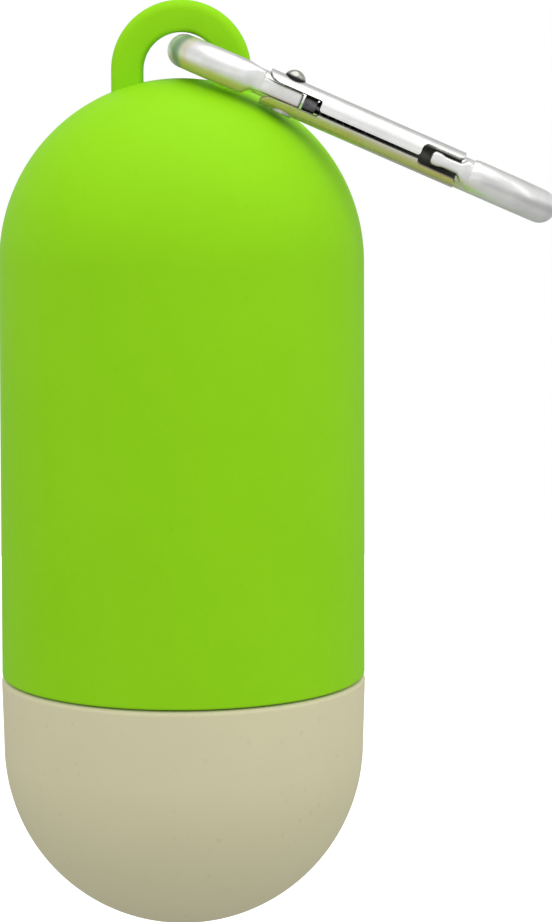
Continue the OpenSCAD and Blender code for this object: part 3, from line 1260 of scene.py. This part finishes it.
    def _rivet(self) -> Solid:
        """The rivet, with a domed upper head and a flat lower one.

        Returns:
            The rivet, in its place on the hook.
        """
        rise = self.head_top - self.rivet_dome
        start = math.degrees(math.acos(self.rivet_head / self.rivet_dome))
        profile = [
            *arc((0, rise), self.rivet_dome, 90, start, 8), (self.rivet_head, self.head_seat + 0.1),
            (self.rivet_head - 0.1, self.head_seat), (self.rivet, self.head_seat),
            (self.rivet, -self.head_seat), (self.rivet_head - 0.06, -self.head_seat),
            (self.rivet_head, -self.head_seat - 0.08), (self.rivet_head, -self.tail + 0.1),
            (self.rivet_head - 0.12, -self.tail), (0, -self.tail),
        ]
        return Solid().lathe(profile, 48).move(self._pin())

    def build(self) -> list[bpy.types.Object]:
        """Makes the wire and the rivet.

        Returns:
            The finished pieces.
        """
        place = hook_place()
        wire = self._wire().piece("hook_wire", Slot.WIRE, "hook", ["carabiner_frame"], place, 30.0)
        pin = self._rivet().piece("gate_pin", Slot.SHEET, "hook", ["gate_rivet"], place, 30.0)
        pin.data.materials[0] = self.pin_finish.make()
        return [wire, pin]


@dataclass
class Gate:
    """Sheet rolled into a gate, with ears, a seam and a latch notch, in millimetres and degrees.

    The edges of its window lie flat, slot_half from the hook's plane, so that they pass the tongue
    as the gate opens.
    """

    radius: float = 2.0
    sheet: float = 0.45
    ear_reach: float = 2.65
    window: float = 3.65
    ear_half: float = 27.7
    slot_half: float = 0.9
    slot_end: float = 0.05
    seam_low: float = -160.5
    seam_high: float = 186.5
    notch: float = 15.25
    notch_half: float = 139.5
    length: float = 19.85
    rivet_x: float = 12.25
    side: float = -7.0
    strip: float = 6.0
    edge: float = 0.13
    ear_round: float = 1.5
    window_round: float = 0.3
    notch_round: float = 0.7
    prong_round: float = 0.55

    def _pattern(self) -> list[Triple]:
        """The flat pattern's corners: place along the gate, angle round it, and corner radius.

        Returns:
            The corners, in order.
        """
        ear, gap = 180 - self.ear_half, self.ear_half
        big, small = self.ear_round, self.window_round
        notch, prong = self.notch_round, self.prong_round
        return [
            (self.window, self.seam_high, small), (self.notch, self.seam_high, small),
            (self.notch, self.notch_half, notch), (self.length, self.notch_half, prong),
            (self.length, -self.notch_half, prong), (self.notch, -self.notch_half, notch),
            (self.notch, self.seam_low, small), (self.window, self.seam_low, small),
            (self.window, -ear, small), (-self.ear_reach, -ear, big), (-self.ear_reach, -gap, big),
            (self.window, -gap, small), (self.window, gap, small), (-self.ear_reach, gap, big),
            (-self.ear_reach, ear, big), (self.window, ear, small),
        ]

    def build(self) -> list[bpy.types.Object]:
        """Cuts the flat pattern, gives it its thickness and rolls it up.

        Returns:
            The finished pieces.
        """
        solid = Solid()
        arm = math.radians(1) * self.radius
        corners = [(x, turn * arm, size) for x, turn, size in self._pattern()]
        verts = [solid.bm.verts.new((x, y, 0)) for x, y, _ in corners]
        solid.bm.faces.new(verts)
        for vert, (_, _, size) in zip(verts, corners):
            solid.ease([vert], size, 6, Ease.CORNERS)
        raised = bmesh.ops.extrude_face_region(solid.bm, geom=solid.bm.faces[:])["geom"]
        lifted = [part for part in raised if isinstance(part, bmesh.types.BMVert)]
        bmesh.ops.translate(solid.bm, vec=(0, 0, self.sheet), verts=lifted)
        bmesh.ops.recalc_face_normals(solid.bm, faces=solid.bm.faces[:])
        rims = [edge for edge in solid.bm.edges if edge.calc_face_angle(0.0) > math.radians(60)]
        rims = [edge for edge in rims if abs(edge.verts[0].co.z - edge.verts[1].co.z) < 1e-4]
        solid.ease(rims, self.edge)
        self._slice(solid)
        self._roll_up(solid)
        bmesh.ops.recalc_face_normals(solid.bm, faces=solid.bm.faces[:])
        solid.move(Matrix.Translation((self.rivet_x, self.side, 0)))
        return [solid.piece("rolled_gate", Slot.SHEET, "gate", ["gate_sleeve"], hook_place(), 40.0)]

    def _slice(self, solid: Solid) -> None:
        """Cuts the flat sheet into narrow strips so that it can bend.

        Args:
            solid: The flat sheet.
        """
        count = round(360 / self.strip)
        for i in range(1 - count // 2, count // 2 + 2):
            height = math.radians(i * self.strip) * self.radius
            parts = [*solid.bm.verts, *solid.bm.edges, *solid.bm.faces]
            bmesh.ops.bisect_plane(solid.bm, geom=parts, dist=1e-5, plane_co=(0, height, 0),
                                   plane_no=(0, 1, 0))

    def _roll_up(self, solid: Solid) -> None:
        """Bends the sheet round the gate's axis, and marks its inner face for painted shade.

        Args:
            solid: The sliced sheet.
        """
        inner = solid.bm.verts.layers.float.new(INSIDE)
        for vert in solid.bm.verts:
            # The inner face takes painted shade.
            vert[inner] = 1.0 if vert.co.z < self.sheet / 2 else 0.0
            turn = vert.co.y / self.radius
            reach = self.radius - self.sheet + vert.co.z
            across, square = reach * math.cos(turn), reach * math.sin(turn)
            if vert.co.x < self.window - self.slot_end and abs(square) < self.slot_half:
                square = math.copysign(self.slot_half, square)
                across = math.copysign(math.sqrt(reach * reach - square * square), across)
            vert.co = Vector((vert.co.x, across, square))


@dataclass
class SpringAndPusher:
    """The gate's spring and pusher, which keep their CAD shape."""

    nodes: tuple[str, ...] = ("gate_spring", "gate_plunger")

    def build(self) -> list[bpy.types.Object]:
        """Gives both their steel.

        Returns:
            The finished pieces.
        """
        made = [frame["nodes"][name] for name in self.nodes]
        for node in made:
            for slot in node.material_slots:
                slot.material = finish_of(Slot.SPRING)
        return made


# --------------------------------------------------------------------------- studio


@dataclass
class Card:
    """One soft light: its place, its size in metres and its power in watts."""

    name: str
    place: Triple
    width: float
    height: float
    power: float


@dataclass
class Studio:
    """Pale floor, soft lights, a bright tent round the part, and the camera."""

    floor_drop: float = 0.45
    floor_reach: float = 3.0
    camera_place: Triple = (0.0103, -0.2925, -0.00531)
    camera_pitch: float = 7.3
    lens: float = 104.0
    top: float = 0.68
    level: float = 1.06
    below: float = 0.5
    flag: float = 0.7
    aim: Triple = (0.0, 0.0, -0.03)

    def build(self) -> None:
        """Sets up the camera, the floor, the lights and the world."""
        self._camera()
        self._floor()
        cards = [
            Card("softbox_above", (0.05, -0.08, 0.5), 0.6, 0.6, 1.42),
            Card("softbox_left", (-0.16, -0.30, 0.42), 0.4, 0.3, 0.27),
            Card("softbox_right", (0.16, -0.36, 0.38), 0.4, 0.3, 0.17),
            Card("strip_right", (0.45, -0.10, 0.10), 0.10, 0.5, 0.19),
        ]
        for card in cards:
            self._light(card)
        self._world()
        bpy.context.scene.view_settings.view_transform = "Standard"

    def _camera(self) -> None:
        """Places the camera."""
        data = bpy.data.cameras.new("camera")
        data.lens = self.lens
        data.clip_start = 0.01
        data.clip_end = 20.0
        camera = bpy.data.objects.new("camera", data)
        camera.location = self.camera_place
        camera.rotation_euler = (math.radians(90 - self.camera_pitch), 0.0, 0.0)
        bpy.context.scene.collection.objects.link(camera)
        bpy.context.scene.camera = camera

    def _floor(self) -> None:
        """Lays the pale floor far enough below the hanging part for a look at it from beneath."""
        solid = Solid()
        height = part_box("bottom_cap")[0][2] - self.floor_drop
        bmesh.ops.create_circle(solid.bm, cap_ends=True, segments=96, radius=self.floor_reach,
                                matrix=Matrix.Translation((0, 0, height)))
        floor = solid.as_object("floor")
        made, graph = material("pale_floor")
        paper = graph.noise(0.08, 2.0, 0.5)
        white = graph.mix(paper, (1.0, 1.0, 1.0), (0.985, 0.985, 0.985))
        graph.principled(Base_Color=(0.9, 0.9, 0.9), Roughness=0.9, Specular_IOR_Level=0.0,
                         Emission_Color=white, Emission_Strength=0.85)
        floor.data.materials.append(made)
        floor.visible_diffuse = False
        floor.visible_glossy = False

    def _light(self, card: Card) -> None:
        """Hangs one soft light and turns it to the middle of the part.

        Args:
            card: Its place, size and power.
        """
        data = bpy.data.lights.new(card.name, "AREA")
        data.shape = "RECTANGLE"
        data.size, data.size_y = card.width, card.height
        data.energy = card.power
        lamp = bpy.data.objects.new(card.name, data)
        lamp.location = card.place
        towards = Vector(self.aim) - Vector(card.place)
        lamp.rotation_euler = towards.to_track_quat("-Z", "Y").to_euler()
        lamp.visible_camera = False
        bpy.context.scene.collection.objects.link(lamp)

    def _world(self) -> None:
        """Wraps the part in a tent, white to the eye and shaded from top to bottom for its light.

        A grey flag behind the part shows only in its shine, and draws the edges of its metal.
        """
        world = bpy.data.worlds.new("tent")
        bpy.context.scene.world = world
        world.use_nodes = True
        graph = Graph(world.node_tree)
        towards = graph.add("ShaderNodeTexCoord", {}, {}, "Generated")
        height = graph.add("ShaderNodeSeparateXYZ", {}, {0: towards}, "Z")
        greys = [(0.0, self.below), (0.42, self.below * 1.15), (0.5, self.level),
                 (0.75, self.top * 0.9), (1.0, self.top)]
        stops = [(place, (grey, grey, grey)) for place, grey in greys]
        shade = graph.add("ShaderNodeValToRGB", {"stops": stops}, {0: height * 0.5 + 0.5})
        behind = graph.add("ShaderNodeSeparateXYZ", {}, {0: towards}, "Y").above(0.45, 0.3)
        shine = graph.add("ShaderNodeLightPath", {}, {}, "Is Glossy Ray")
        power = 1.0 - behind * shine * (1.0 - self.flag)
        lit = graph.add("ShaderNodeBackground", {}, {"Color": shade, "Strength": power})
        plain = graph.add("ShaderNodeBackground", {}, {"Color": (1.0, 1.0, 1.0)})
        seen = graph.add("ShaderNodeLightPath", {}, {}, "Is Camera Ray")
        both = graph.add("ShaderNodeMixShader", {}, {0: seen, 1: lit, 2: plain})
        graph.add("ShaderNodeOutputWorld", {}, {"Surface": both})


def clear_bench() -> None:
    """Removes whatever the empty file holds beside the frame."""
    for name in ("Cube", "Light", "Camera"):
        spare = bpy.data.objects.get(name)
        if spare is not None:
            bpy.data.objects.remove(spare)


def plain(corners: Sequence[Sequence[float]]) -> list[list[float]]:
    """Two corners as plain lists."""
    return [[float(value) for value in corner] for corner in corners]


def main() -> None:
    """Builds the part's pieces and the studio round them."""
    logging.basicConfig(level=logging.INFO, format="%(message)s")
    clear_bench()
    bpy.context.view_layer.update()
    Studio().build()
    for maker in (Shell(), Cap(), Roll(), Hook(), Gate(), SpringAndPusher()):
        for piece in maker.build():
            LOG.info("%s: %s, %d faces", type(maker).__name__, piece.name, len(piece.data.polygons))


if __name__ == "__main__":
    main()
